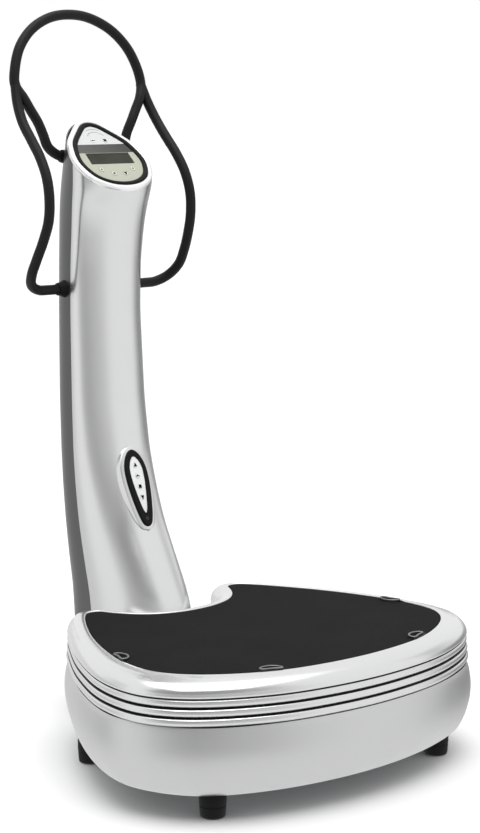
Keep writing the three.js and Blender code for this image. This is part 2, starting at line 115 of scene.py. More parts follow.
# Collars on the column: centre, lean in radians and how far the wide end flares.
COLLARS = {"upper": ((62, 430, 1230), 0.2, 6), "lower": ((93, 405, 945), 0.0, 11)}
COLLAR_HALF = 13.9
FEET = {"front": (302, -366), "rear": (283, 56)}
MOUNTS = {"front": (262, -300), "rear": (236, -30)}
STRAPS = {"side": (369, -158, -16), "front": (197, -417, 66)}
RING = dict(half=22, reach=19, wire=4.5, z=283)
RING_RISE = 1.8
SLOT_LIFT = 0.2
SIDES = (("right", 1), ("left", -1))


# ---- curves and lofts -----------------------------------------------------------------------------
def catmull(points, count, closed):
    """Centripetal Catmull-Rom curve through the points, sampled at even spacing."""
    p = np.array(points, float)
    n = len(p)
    fine = []
    for i in range(n if closed else n - 1):
        p1, p2 = p[i], p[(i + 1) % n]
        p0 = p[i - 1] if closed or i else 2 * p1 - p2
        p3 = p[(i + 2) % n] if closed or i + 2 < n else 2 * p2 - p1
        d0, d1, d2 = (max(np.linalg.norm(b - a) ** 0.5, 1e-4) for a, b in ((p0, p1), (p1, p2), (p2, p3)))
        t1 = ((p1 - p0) / d0 - (p2 - p0) / (d0 + d1) + (p2 - p1) / d1) * d1
        t2 = ((p2 - p1) / d1 - (p3 - p1) / (d1 + d2) + (p3 - p2) / d2) * d1
        t = np.linspace(0, 1, 48, endpoint=False)[:, None]
        fine.append(p1 + t1 * t + (3 * (p2 - p1) - 2 * t1 - t2) * t**2 + (2 * (p1 - p2) + t1 + t2) * t**3)
    line = np.vstack([*fine, p[:1] if closed else p[-1:]])
    arc = np.concatenate([[0], np.cumsum(np.linalg.norm(np.diff(line, axis=0), axis=1))])
    want = np.linspace(0, arc[-1], count + (1 if closed else 0))[:count]
    return np.column_stack([np.interp(want, arc, line[:, k]) for k in range(line.shape[1])])


def outline(half, count):
    """Closed symmetric outline from its right half, anticlockwise from the front."""
    return catmull([*half, *[(-x, y) for x, y in reversed(half[1:-1])]], count, True)


def eased(line, passes=24):
    """The outline with its curvature evened out on the long curves; tight corners keep their shape."""
    def neighbours(p):
        return (np.roll(p, 1, axis=0) + np.roll(p, -1, axis=0)) / 2

    step = np.linalg.norm(np.roll(line, -1, axis=0) - line, axis=1).mean()
    wide = np.roll(line, 3, axis=0) + np.roll(line, -3, axis=0) - 2 * line
    radius = (3 * step) ** 2 / np.maximum(np.linalg.norm(wide, axis=1), 1e-6)
    loose = np.clip((radius - 70) / 110, 0, 1)
    for _ in range(3):
        loose = np.minimum(loose, (np.roll(loose, 2) + np.roll(loose, -2)) / 2)
    made = line.copy()
    for _ in range(passes):
        made += (loose * 0.5)[:, None] * (neighbours(made) - made)
    return made


def fullness(p):
    """The skirt stands further out at the front corners and less far at the rear lobes."""
    def hump(x, y, reach):
        return np.exp(-((np.abs(p[:, 0]) - x) ** 2 + (p[:, 1] - y) ** 2) / (2 * reach**2))

    return 1 + 0.3 * hump(365, -300, 115) - 0.14 * hump(285, 90, 120)


def offset(points, d, z=0.0):
    """The outline moved outwards by d and up to z, along normals taken over a sixtieth of its length."""
    step = max(1, len(points) // 60)
    t = np.roll(points, -step, axis=0) - np.roll(points, step, axis=0)
    t /= np.linalg.norm(t, axis=1)[:, None]
    out = d * fullness(points) if d > 25 else np.full(len(points), float(d))
    x, y = points[:, 0] + t[:, 1] * out, points[:, 1] - t[:, 0] * out
    return np.column_stack([x, y, np.full(len(points), z)])


def rounded(profile, per=5):
    """A smooth curve through a profile's points."""
    return catmull(profile, per * (len(profile) - 1) + 1, False)


def build(name, verts, faces, smooth=32, scale=MM):
    """A mesh object from points in millimetres, shaded smooth below the angle smooth."""
    mesh = bpy.data.meshes.new(name)
    mesh.from_pydata([tuple(v) for v in np.asarray(verts, float) * scale], [], faces)
    bm = bmesh.new()
    bm.from_mesh(mesh)
    bmesh.ops.remove_doubles(bm, verts=bm.verts, dist=1e-6)
    bmesh.ops.recalc_face_normals(bm, faces=bm.faces)
    bm.to_mesh(mesh)
    bm.free()
    obj = bpy.data.objects.new(name, mesh)
    bpy.context.scene.collection.objects.link(obj)
    shade(obj, smooth)
    return obj


def shade(obj, angle):
    obj.data.shade_smooth()
    obj.data.set_sharp_from_angle(angle=math.radians(angle))


def skin(rings, closed=False):
    """Points and faces over a list of rings; capped at both ends unless the list closes on itself."""
    m = len(rings[0])
    count = len(rings)
    faces = []
    for i in range(count if closed else count - 1):
        a, b = i * m, (i + 1) % count * m
        faces += [(a + j, a + (j + 1) % m, b + (j + 1) % m, b + j) for j in range(m)]
    if not closed:
        faces += [tuple(range(m))[::-1], tuple(range((count - 1) * m, count * m))]
    return np.vstack(rings), faces


def band(name, points, profile, smooth=32):
    """A closed band along an outline; the profile is distance outwards, z."""
    return build(name, *skin([offset(points, d, z) for d, z in profile], True), smooth)


def stack(name, points, profile, smooth=32):
    """A capped solid over an outline; the profile is distance outwards, z from below."""
    return build(name, *skin([offset(points, d, z) for d, z in profile]), smooth)


def turned(name, profile, x=0.0, y=0.0, segments=48, smooth=32):
    """A closed piece turned about the vertical line through x, y; the profile is radius, z from below."""
    angle = np.linspace(0, 2 * math.pi, segments, endpoint=False)
    across, along = np.cos(angle), np.sin(angle)
    rings = [np.column_stack([x + r * across, y + r * along, np.full(segments, z)]) for r, z in profile]
    return build(name, *skin(rings), smooth)


def tube(name, path, radius, segments=28, smooth=60):
    """A round bar along a path of points; radius is a number or a function of the share of the length."""
    path = np.asarray(path, float)
    tangent = np.gradient(path, axis=0)
    tangent /= np.linalg.norm(tangent, axis=1)[:, None]
    normal = np.cross(tangent[0], (0.0, 0.0, 1.0))
    if np.linalg.norm(normal) < 0.1:
        normal = np.cross(tangent[0], (1.0, 0.0, 0.0))
    rings = []
    for i, (centre, t) in enumerate(zip(path, tangent)):
        normal = normal - t * (normal @ t)
        normal /= np.linalg.norm(normal)
        side = np.cross(t, normal)
        r = radius(i / (len(path) - 1)) if callable(radius) else radius
        a = np.linspace(0, 2 * math.pi, segments, endpoint=False)[:, None]
        rings.append(centre + r * (np.cos(a) * normal + np.sin(a) * side))
    return build(name, *skin(rings), smooth)


def carve(obj, *cutters):
    """Takes the cutters away from the object and applies the result."""
    for cutter in cutters:
        mod = obj.modifiers.new("cut", "BOOLEAN")
        mod.operation, mod.solver, mod.object = "DIFFERENCE", "EXACT", cutter
    bpy.context.view_layer.update()
    made = bpy.data.meshes.new_from_object(obj.evaluated_get(bpy.context.evaluated_depsgraph_get()))
    obj.modifiers.clear()
    obj.data = made
    for cutter in cutters:
        bpy.data.objects.remove(cutter)
    return obj


def block(name, x0, x1, y0, y1, z0, z1):
    """A box between two corners, in millimetres."""
    corners = [(x, y, z) for x in (x0, x1) for y in (y0, y1) for z in (z0, z1)]
    faces = [(0, 1, 3, 2), (4, 6, 7, 5), (0, 4, 5, 1), (2, 3, 7, 6), (0, 2, 6, 4), (1, 5, 7, 3)]
    return build(name, corners, faces, 30)


def bevelled(obj, width, segments=3, angle=40):
    mod = obj.modifiers.new("edge", "BEVEL")
    mod.width, mod.segments = width * MM, segments
    mod.limit_method, mod.angle_limit = "ANGLE", math.radians(angle)
    mod.harden_normals = True
    return obj


# ---- materials ------------------------------------------------------------------------------------
class Nodes:
    """A procedural material being wired up around its Principled shader, in object coordinates."""

    def __init__(self, name, color, roughness, metallic=0.0, **sockets):
        self.material = bpy.data.materials.new(name)
        self.material.use_nodes = True
        self.tree = self.material.node_tree
        self.shader = self.tree.nodes["Principled BSDF"]
        start = {"Base Color": (*color, 1), "Roughness": roughness, "Metallic": metallic}
        self.set(self.shader, {**start, **sockets})
        self.place = self.add("ShaderNodeTexCoord").outputs["Object"]

    def set(self, node, values):
        for key, value in values.items():
            if isinstance(value, bpy.types.NodeSocket):
                self.tree.links.new(value, node.inputs[key])
            else:
                node.inputs[key].default_value = value

    def add(self, kind, values=None, **props):
        node = self.tree.nodes.new(kind)
        for key, value in props.items():
            setattr(node, key, value)
        self.set(node, values or {})
        return node

    def math(self, operation, *values):
        node = self.add("ShaderNodeMath", operation=operation)
        self.set(node, dict(enumerate(values)))
        return node.outputs[0]

    def noise(self, scale, detail=3.0, roughness=0.5, at=None):
        values = {"Vector": at or self.place, "Scale": scale, "Detail": detail, "Roughness": roughness}
        return self.add("ShaderNodeTexNoise", values).outputs["Fac"]

    def ramp(self, value, low, high, to_low, to_high):
        """The value from low to high, mapped to a range and held there."""
        values = {"Value": value, "From Min": low, "From Max": high, "To Min": to_low, "To Max": to_high}
        return self.add("ShaderNodeMapRange", values, clamp=True).outputs[0]

    def mix(self, factor, a, b):
        node = self.add("ShaderNodeMix", data_type="RGBA")
        for index, value in ((0, factor), (6, a), (7, b)):
            if isinstance(value, bpy.types.NodeSocket):
                self.tree.links.new(value, node.inputs[index])
            else:
                node.inputs[index].default_value = value if index == 0 else (*value, 1)
        return node.outputs[2]

    def color(self, socket):
        self.set(self.shader, {"Base Color": socket})
        return self

    def rough(self, socket):
        self.set(self.shader, {"Roughness": socket})
        return self

    def bump(self, height, distance, strength=1.0):
        before = self.shader.inputs["Normal"]
        values = {"Height": height, "Distance": distance, "Strength": strength}
        if before.is_linked:
            values["Normal"] = before.links[0].from_socket
        self.set(self.shader, {"Normal": self.add("ShaderNodeBump", values).outputs[0]})
        return self


def silver_paint(name, tone, roughness, metallic=0.92, coat=0.08):
    """Metallic silver paint: fine flake, a little orange peel and an uneven sheen."""
    n = Nodes(name, (tone,) * 3, roughness, metallic, **{"Coat Weight": coat, "Coat Roughness": 0.12})
    flake = n.noise(900.0, 2.0, 0.6)
    pale = (tone * 1.02, tone * 1.025, tone * 1.03)
    n.color(n.mix(n.ramp(flake, 0.3, 0.7, 0, 1), (tone * 0.97,) * 3, pale))
    n.rough(n.ramp(n.noise(9.0, 4.0, 0.6), 0.3, 0.7, roughness * 0.92, roughness * 1.1))
    n.bump(n.noise(45.0, 2.0), 0.00006, 0.25)
    return n.material


def soft_black(name, tone, roughness, grain=900.0, depth=0.00008, specular=0.45):
    """Moulded black plastic or rubber with a fine grain and dust-light variation."""
    n = Nodes(name, (tone,) * 3, roughness, 0.0, **{"Specular IOR Level": specular})
    cloud = n.noise(14.0, 5.0, 0.6)
    dark, dusty = (tone * 0.9, tone * 0.87, tone * 0.87), (tone * 1.2, tone * 1.17, tone * 1.15)
    n.color(n.mix(n.ramp(cloud, 0.35, 0.7, 0, 1), dark, dusty))
    n.rough(n.ramp(cloud, 0.3, 0.7, roughness * 0.9, roughness * 1.1))
    n.bump(n.noise(grain, 3.0, 0.7), depth, 0.8)
    return n.material


def worn_metal(name, color, roughness, brushed=(1.0, 1.0, 1.0), metallic=1.0):
    """Bare or zinc-plated metal with brush marks stretched along one axis and faint staining."""
    n = Nodes(name, color, roughness, metallic)
    stretch = n.add("ShaderNodeMapping", {"Vector": n.place, "Scale": brushed}).outputs[0]
    lines = n.noise(700.0, 4.0, 0.6, stretch)
    stain = n.noise(22.0, 5.0, 0.6)
    dark = tuple(c * 0.8 for c in color)
    n.color(n.mix(n.ramp(stain, 0.35, 0.65, 0, 1), dark, color))
    n.rough(n.ramp(lines, 0.2, 0.8, roughness * 0.75, roughness * 1.3))
    n.bump(lines, 0.00005, 0.5)
    return n.material


def mat_rubber():
    """Finely chequered rubber sheet with a matt grain and pale flecks."""
    n = Nodes("mat_rubber", (0.013, 0.013, 0.013), 0.95, 0.0, **{"Specular IOR Level": 0.1})
    xyz = n.add("ShaderNodeSeparateXYZ", {"Vector": n.place})
    check = 2 * math.pi / 0.0042
    ribs = n.math("SINE", n.math("MULTIPLY", xyz.outputs["Y"], check))
    across = n.math("SINE", n.math("MULTIPLY", xyz.outputs["X"], check))
    grain = n.noise(1300.0, 4.0, 0.7)
    cloud = n.noise(7.0, 4.0, 0.55)
    base = n.mix(n.ramp(cloud, 0.3, 0.7, 0, 1), (0.0078, 0.0078, 0.008), (0.0102, 0.0101, 0.01))
    fleck = n.ramp(grain, 0.55, 0.8, 0, 0.5)
    n.color(n.mix(fleck, base, (0.026, 0.026, 0.026)))
    n.rough(n.ramp(grain, 0.2, 0.8, 0.85, 0.97))
    n.bump(n.math("MULTIPLY", n.math("MULTIPLY", ribs, across), 0.5), 0.00035, 0.6)
    n.bump(grain, 0.00012, 0.6)
    return n.material


def printed_console():
    """Console film: white upper field, grey window band and cream lower field with fine printed arcs."""
    n = Nodes("console_film", (0.7, 0.7, 0.6), 0.38, 0.0, **{"Specular IOR Level": 0.15})
    xyz = n.add("ShaderNodeSeparateXYZ", {"Vector": n.place})
    x = n.math("MULTIPLY", xyz.outputs["X"], 1000.0)

    def up_panel(axis, start, share):
        return n.math("MULTIPLY", n.math("SUBTRACT", xyz.outputs[axis], start * MM), 1000 * share)

    y = up_panel("Y", CONSOLE_AT[1], math.cos(CONSOLE_TILT))
    z = up_panel("Z", CONSOLE_AT[2], math.sin(CONSOLE_TILT))
    s = n.math("ADD", y, z)

    def between(value, low, high, soft=0.35):
        rise = n.ramp(value, low - soft, low + soft, 0, 1)
        return n.math("MULTIPLY", rise, n.ramp(value, high - soft, high + soft, 1, 0))

    def arc(cx, cy, radius, width, low, high):
        dx, dy = n.math("SUBTRACT", x, cx), n.math("SUBTRACT", s, cy)
        r = n.math("SQRT", n.math("ADD", n.math("MULTIPLY", dx, dx), n.math("MULTIPLY", dy, dy)))
        angle = n.math("DEGREES", n.math("ARCTAN2", dy, dx))
        line = between(r, radius - width / 2, radius + width / 2)
        return n.math("MULTIPLY", line, between(angle, low, high, 1.5))

    speck = n.noise(420.0, 3.0)
    cream = n.mix(speck, (0.43, 0.44, 0.36), (0.48, 0.49, 0.41))
    white = n.mix(speck, (0.62, 0.63, 0.63), (0.68, 0.69, 0.69))
    grey = n.mix(n.ramp(x, -70, 60, 0, 1), (0.11, 0.11, 0.105), (0.06, 0.062, 0.058))
    film = n.mix(n.ramp(s, GREY_FROM, GREY_FROM + 0.6, 0, 1), cream, grey)
    film = n.mix(n.ramp(s, WHITE_FROM, WHITE_FROM + 0.6, 0, 1), film, white)
    marks = [arc(0, 66, 26, 0.9, 205, 255), arc(0, 66, 26, 0.9, 285, 335), arc(0, 66, 42, 0.9, 200, 232),
             arc(0, 66, 42, 0.9, 308, 340), arc(0, 138, 27, 1.0, 35, 145), arc(0, 140, 34, 1.0, 60, 120)]
    ink = marks[0]
    for mark in marks[1:]:
        ink = n.math("MAXIMUM", ink, mark)
    n.color(n.mix(ink, film, (0.09, 0.09, 0.085)))
    n.rough(n.ramp(speck, 0.3, 0.7, 0.33, 0.44))
    n.bump(n.noise(1500.0, 2.0), 0.00003, 0.4)
    return n.material


def lcd_glass():
    """Dark greenish display behind a clear window, with a fine dot matrix."""
    n = Nodes("lcd_glass", (0.045, 0.048, 0.034), 0.3, 0.0, **{"Specular IOR Level": 0.12})
    xyz = n.add("ShaderNodeSeparateXYZ", {"Vector": n.place})
    cell = 2 * math.pi / 0.0011
    dots = n.math("MULTIPLY", n.math("SINE", n.math("MULTIPLY", xyz.outputs["X"], cell)),
                  n.math("SINE", n.math("MULTIPLY", xyz.outputs["Z"], cell * 1.3)))
    glow = n.noise(28.0, 2.0)
    liquid = n.mix(n.ramp(glow, 0.3, 0.7, 0, 1), (0.026, 0.0275, 0.020), (0.040, 0.042, 0.031))
    n.color(n.mix(n.ramp(dots, 0.0, 0.6, 0, 0.35), liquid, (0.022, 0.023, 0.018)))
    n.rough(n.ramp(dots, -1, 1, 0.26, 0.34))
    return n.material


def cream_film():
    """Cream printed film on the lower console keys."""
    n = Nodes("cream_key", (0.66, 0.68, 0.57), 0.4)
    n.color(n.mix(n.noise(500.0), (0.6, 0.62, 0.52), (0.7, 0.72, 0.61)))
    return n.material


def white_film():
    """White printed film with a faint speckle."""
    n = Nodes("white_film", (0.86, 0.87, 0.87), 0.4, 0.0, **{"Specular IOR Level": 0.3})
    speck = n.noise(600.0, 3.0)
    n.color(n.mix(speck, (0.82, 0.83, 0.83), (0.9, 0.905, 0.9)))
    n.rough(n.ramp(speck, 0.3, 0.7, 0.36, 0.46))
    n.bump(speck, 0.00003, 0.4)
    return n.material


SILVER = silver_paint("silver_paint", 0.72, 0.24)
SHELL = silver_paint("silver_shell", 0.62, 0.36)
# The rear cover uses the same silver paint at a fifth of the front's tone: painted shade on the half that
# faces away.
SHADED_REAR = silver_paint("silver_rear_painted_shade", 0.14, 0.34)
RIM_SILVER = silver_paint("silver_rim", 0.74, 0.19)
BRIGHT = silver_paint("bright_trim", 0.88, 0.25, 0.5, 0.3)
TUBE = soft_black("handlebar_foam", 0.0065, 0.5, 1500.0, 0.00006, 0.22)
BLACK = soft_black("black_plastic", 0.006, 0.45, specular=0.12)
RUBBER = soft_black("rubber", 0.005, 0.65, 700.0, 0.00012, 0.2)
MAT = mat_rubber()
FILM = printed_console()
LCD = lcd_glass()
WHITE = white_film()
CREAM = cream_film()
STEEL = worn_metal("primed_steel", (0.15, 0.155, 0.16), 0.5, (1, 1, 0.2), 0.8)
ZINC = worn_metal("zinc_plate", (0.5, 0.51, 0.53), 0.3, (0.1, 1, 1))
RING_STEEL = worn_metal("ring_steel", (0.22, 0.22, 0.23), 0.38)
CAST = worn_metal("cast_case", (0.38, 0.39, 0.4), 0.48)
INK = soft_black("symbol_ink", 0.004, 0.6, specular=0.1)
# Near-black for the bellows folds: painted shade in the grooves between the silver ribs.
FOLD_SHADE = soft_black("bellows_fold_shade", 0.02, 0.6)
DARK_GAP = soft_black("shadow_gap", 0.004, 0.7)


def dress(obj, material, body=None, replaces=()):
    """Gives a piece its material, its body and the CAD nodes it stands for."""
    obj.data.materials.clear()
    obj.data.materials.append(material)
    if body:
        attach(obj, body)
    if replaces:
        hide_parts(*replaces)
    return obj


def keep(name, material, width=0.0, angle=32):
    """A CAD node that stays: welded, its edges softened, shaded smooth by angle."""
    obj = nodes[name]
    obj.data.materials.clear()
    obj.data.materials.append(material)
    obj.data.shade_smooth()
    weld = obj.modifiers.new("weld", "WELD")
    weld.merge_threshold = 1e-5
    if width:
        bevelled(obj, width)
    split = obj.modifiers.new("split", "EDGE_SPLIT")
    split.split_angle = math.radians(angle)
    return obj


# ---- base -----------------------------------------------------------------------------------------
FINE, COARSE = 240, 60
mat_line = eased(outline(MAT_HALF, FINE))
coarse = outline(MAT_HALF, COARSE)
lobe_tip = max((i for i in range(COARSE) if coarse[i, 0] > 0), key=lambda i: coarse[i, 1])
skirt = offset(coarse, COVER_OUT)[: lobe_tip - 2: 3, :2]
base_line = eased(outline([tuple(p) for p in skirt] + TAIL_HALF, FINE))

cover = stack("cover_shell", base_line, rounded(
    [(-34, 52), (-23, 60), (-10, 84), (-1, 118), (1, 145), (-2, 172), (-6, 187), (-9, DECK_Z)], 4))
hollow = stack("hollow", base_line, [
    (-38, 40), (-38, 53), (-30, 62), (-14, 88), (-4, 120), (-4, 145), (-10, 186), (-12, DECK_Z - 4)])
DECK_CUT = (DECK_Z - 13, DECK_Z + 7)
deck_hole = stack("well", mat_line, [(30, z) for z in DECK_CUT])
post_hole = block("post_hole", *POST_HOLE, *DECK_CUT)
carve(cover, hollow, deck_hole, post_hole, block("inlet_hole", *INLET_HOLE))
shade(cover, 30)
dress(cover, SHELL, "base", ["base_cover"])

# Three-rib bellows between the fixed cover and the moving plate: silver ribs, with the folds between them
# painted near-black as painted shade.
RIB_TALL = 18
RIB_SHAPE = [
    (-9, 0.3), (-4.6, 1.0), (-2.6, 2.2), (-1.1, 4.2), (-0.3, 6.6), (0, 9), (-0.3, 11.4), (-1.1, 13.8),
    (-2.6, 15.8), (-4.6, 17.0), (-9, 17.7),
]
rib = (PLATE_Z - DECK_Z - 2 * GAP) / RIBS
profile, shaded_rows = [(FOLD_OUT, DECK_Z + GAP)], []
for i in range(RIBS):
    z, out = DECK_Z + GAP + i * rib, RIB_OUT - RIB_LEAN * i
    first, last = len(profile), len(profile) + len(RIB_SHAPE) - 1
    shaded_rows += [first - 1, first, first + 1, last - 2, last - 1]
    profile += [(out + d, z + h * rib / RIB_TALL) for d, h in RIB_SHAPE]
profile += [(FOLD_OUT, PLATE_Z - GAP)]
bellows = band("bellows_ribs", mat_line, profile, 50)
dress(bellows, SILVER, None, ["bellows"])
# The faces down in each groove take the near-black second material: painted shade where the ribs fold in.
bellows.data.materials.append(FOLD_SHADE)
for k in set(shaded_rows):
    for polygon in bellows.data.polygons[k * FINE: (k + 1) * FINE]:
        polygon.material_index = 1
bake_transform(bellows)

for row, (x, y) in FEET.items():
    for side, sign in SIDES:
        foot = turned(f"foot_pad_{row}_{side}", [
            (19.5, 0), (21.5, 0.5), (24.2, 2.2), (25, 4), (25.6, 8), (26.4, 22), (26.4, 23), (25.6, 23.8),
            (25.6, 25), (26.6, 25.8), (27, 30), (27, 47.5), (26.4, 49.3), (24.8, 50.6), (20, 51), (9, 51),
            (9, 55.7)], sign * x, y)
        dress(foot, RUBBER, "base", [f"foot_{row}_{side}"])
for row, (x, y) in MOUNTS.items():
    for side, sign in SIDES:
        waist = [(32, 200.3), (32, 207), (29, 213), (26, 219), (25.5, 229.5), (26, 240), (29, 246),
                 (32, 252), (32, 258.7)]
        mount = turned(f"mount_block_{row}_{side}", rounded(waist, 3), sign * x, y)
        dress(mount, RUBBER, None, [f"rubber_mount_{row}_{side}"])
        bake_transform(mount)
keep("base_frame", STEEL)
keep("drive_box", CAST, 2.5)
keep("power_inlet", BLACK, 0.7)
keep("power_switch", RUBBER, 0.5)
keep("column_post", STEEL, 1.0)

# ---- plate ----------------------------------------------------------------------------------------
MAT_LOW, MAT_TOP = MAT_Z
mat_piece = stack("mat_sheet", mat_line, [
    (-0.4, MAT_LOW), (-0.2, 272.8), (-0.2, 277.6), (-0.5, 278.8), (-1.2, 279.8), (-2.2, 280.5),
    (-3.6, 280.9), (-5, MAT_TOP), (-9, MAT_TOP)])
dress(mat_piece, MAT, "platform", ["mat"])
rim = band("rim_shell", mat_line, [
    (0.1, 272), (0.1, 280.8), (0.4, 281.8), (1.2, 282.5), (2.4, 282.8), (4.5, 282.8), (7, 282.5),
    (10, 281.9), (15, 280.8), (20, 279.5), (25, 277.5), (29, 275.3), (33, 272.3), (36.5, 268.8),
    (39.5, 264.6), (41.8, 260), (43.2, 255.5), (43.6, 252.2), (43, 250), (41.2, 248.5),
    (38.5, PLATE_Z), (38, 259), (32, 266), (24, 272)], 40)
dress(rim, RIM_SILVER, "platform", ["plate_rim"])
keep("plate_core", STEEL, 0.0)
for side, sign in SIDES:
    keep(f"motor_{side}", STEEL, 1.0)
    keep(f"shaft_{side}", ZINC, 0.6)
    for end in ("front", "rear"):
        keep(f"weight_{end}_{side}", STEEL, 0.8)

# Strap rings: a bent wire ring hinged at its straight side, over a dark slot piece on the mat's edge.
RING_W = RING["wire"] / 2
RING_HALF = [
    (0, -RING_W), (RING["half"], -RING_W), (RING["half"] + 2, 6), (RING["half"] - 6, 16),
    (0, RING["reach"] + 2),
]
RING_SECTION = [
    (-RING_W + RING_W * math.cos(a), RING_RISE + RING_RISE * math.sin(a))
    for a in np.linspace(0, 2 * math.pi, 13)[:-1]
]
SLOT_HALF = [(0, -7), (25, -7), (27.5, -3.5), (25, 0.6), (0, 0.6)]
SLOT_SECTION = [(-2, -2.6), (0, -2.4), (0, -1.2), (-0.5, -0.9), (-3, -0.9)]
for row, (x, y, turn) in STRAPS.items():
    for side, sign in SIDES:
        turn_by = Matrix.Rotation(math.radians(90 - turn) * sign, 4, "Z")
        ring = band(f"ring_wire_{row}_{side}", outline(RING_HALF, 72), RING_SECTION, 60)
        ring.data.transform(Matrix.Translation(Vector((sign * x, y, RING["z"])) * MM) @ turn_by)
        dress(ring, RING_STEEL, f"ring_{row}_{side}", [f"strap_ring_{row}_{side}"])
        slot = stack(f"strap_slot_{row}_{side}", outline(SLOT_HALF, 60), SLOT_SECTION, 40)
        slot.data.transform(Matrix.Translation(Vector((sign * x, y, RING["z"] + SLOT_LIFT)) * MM) @ turn_by)
        dress(slot, DARK_GAP, "platform")

# ---- column ---------------------------------------------------------------------------------------
SECTIONS = np.array(COLUMN, float)
COLUMN_FOOT = SECTIONS[0, 0]
HEIGHTS = np.arange(COLUMN_FOOT, SECTIONS[-1, 0], COLUMN_STEP)
SMOOTHED = np.column_stack([np.interp(HEIGHTS, SECTIONS[:, 0], SECTIONS[:, k]) for k in range(1, 5)])
for _ in range(30):
    SMOOTHED[1:-1] = (SMOOTHED[:-2] + 2 * SMOOTHED[1:-1] + SMOOTHED[2:]) / 4


def column_at(z):
    """Half width, then front, widest and rear y at a height; kinks between the rows are rounded off."""
    return [np.interp(z, HEIGHTS, SMOOTHED[:, k]) for k in range(4)]


def cover_top(y):
    """Height at which the column covers end, just under the tilted console."""
    slope = math.tan(CONSOLE_TILT)
    return CONSOLE_AT[2] + (y - CONSOLE_AT[1]) * slope - CONSOLE_DROP / math.cos(CONSOLE_TILT)


def column_point(t, u, front, inset):
    """A point of a cover: t runs round its half of the section, u runs up to the tilted top."""
    angle = t * math.pi
    n = 2.5 - 0.25 * u if front else 2.6 - 0.9 * u**3
    z = COLUMN_FOOT + (COLUMN_TALLEST - COLUMN_FOOT) * u
    seam = GAP / 2
    for _ in range(12):
        half, yf, ym, yb = column_at(z)
        reach = yf + inset - ym + seam if front else yb - inset - ym - seam
        c, s = math.cos(angle), math.sin(angle)
        px = (half - inset) * math.copysign(abs(c) ** (2 / n), c)
        py = ym + (-seam if front else seam) + reach * abs(s) ** (2 / n)
        point = (px, py, z)
        z = COLUMN_FOOT + (cover_top(py) - COLUMN_FOOT) * u
    return point


def column_cover(name, front, rows=44, steps=40):
    """The front or rear half shell of the column."""
    rings = []
    for i in range(rows):
        u = (i / (rows - 1)) ** 0.9
        outside, inside = (
            [column_point(j / steps, u, front, inset) for j in range(steps + 1)]
            for inset in (0, COLUMN_WALL))
        rings.append(outside + inside[::-1] if front else outside[::-1] + inside)
    return build(name, *skin([np.array(r) for r in rings]), 38)


dress(column_cover("column_front_shell", True), SILVER, "base", ["column_front_cover"])
# The rear half shell is dark through painted shade in its paint, not through a different finish.
dress(column_cover("column_rear_shell", False), SHADED_REAR, "base", ["column_rear_cover"])


# ---- console and pod ------------------------------------------------------------------------------
def plane(at, tilt):
    """The frame of a tilted panel: x to the right, y up the panel, z out of it."""
    c, s = math.cos(tilt), math.sin(tilt)
    return Matrix(((1, 0, 0, at[0] * MM), (0, c, -s, at[1] * MM), (0, s, c, at[2] * MM), (0, 0, 0, 1)))


def on(matrix, obj):
    """The piece carried from a panel's own frame into the object's."""
    obj.data.transform(matrix)
    return obj


CONSOLE = plane(CONSOLE_AT, CONSOLE_TILT)
POD = plane(POD_AT, POD_TILT)
egg = outline(CONSOLE_HALF, 144)
leaf = outline(POD_HALF, 108)


def plate(name, points, z0, z1, holes=(), round_edge=0.25):
    """A flat plate with a softened top edge and round or square holes."""
    edge, corner = round_edge, round_edge * 0.3
    profile = [(0, z0), (0, z1 - edge), (-corner, z1 - corner), (-edge, z1), (-edge - 1.2, z1)]
    obj = stack(name, points, profile)
    return carve(obj, *holes) if holes else obj


def drill(x, y, r, z0=-8, z1=12):
    return turned("drill", [(r, z0), (r, z1)], x, y, 32)


rim_profile = [
    (0.3, -5.7), (0.3, 0.6), (0.7, 1.6), (1.6, 2.7), (3, 3.3), (5, 3.5), (7, 3.2), (9, 2.3), (10.8, 0.7),
    (11.7, -0.8), (12, -2.4), (12, -5.7),
]
trim = band("console_trim", egg, rim_profile)
dress(on(CONSOLE, trim), BRIGHT, "base", ["console_rim"])
ring_profile = [
    (0, -5.7), (0, 0.6), (-0.3, 1.8), (-1.2, 3), (-2.6, 3.8), (-4.6, 4.1), (-6.8, 3.9), (-8.6, 3.2),
    (-10, 2.1), (-10.8, 0.9), (-11, 0), (-11, -5.7),
]
surround = band("console_bezel", egg, ring_profile)
dress(on(CONSOLE, surround), BLACK, "base", ["console_ring"])
lcd_hole = block("lcd_hole", -LCD_X, LCD_X, *LCD_S, -8, 8)
key_holes = [drill(x, s, KEY_R + KEY_GAP) for x, s in CONSOLE_KEYS]
face = plate("console_panel", offset(egg, -CONSOLE_BAND)[:, :2], -3, 0.4, [lcd_hole, *key_holes])
dress(on(CONSOLE, face), FILM, "base", ["console_face"])
shade(face, 30)
glass_x, glass_s = LCD_X - LCD_GAP, (LCD_S[0] + LCD_GAP, LCD_S[1] - LCD_GAP)
glass = bevelled(block("lcd_window", -glass_x, glass_x, *glass_s, -3, -0.4), 0.25, 2)
dress(on(CONSOLE, glass), LCD, "base", ["display"])
keep("console_tray", BLACK)


def key(name, x, y, low, high, material, matrix, body, slot, node, symbol):
    """A round domed key with a printed symbol standing a hair proud of it."""
    dome = [(KEY_R, low), (KEY_R, high - 0.6), (KEY_R - 0.15, high - 0.25), (KEY_R - 0.5, high - 0.06),
            (KEY_R - 1, high), (0.4, high)]
    cap = turned(name, dome, x, y, 36, 40)
    dress(on(matrix, cap), material, body, [node])
    points = np.array(symbol, float) + (x, y)
    layers = [np.column_stack([points, np.full(len(points), z)]) for z in (high - 0.3, high + 0.12)]
    mark = build(f"{name}_symbol", *skin(layers), 20)
    dress(on(matrix, mark), INK, body)


def disc(r, n=28):
    return [(r * math.cos(a), r * math.sin(a)) for a in np.linspace(0, 2 * math.pi, n, endpoint=False)]


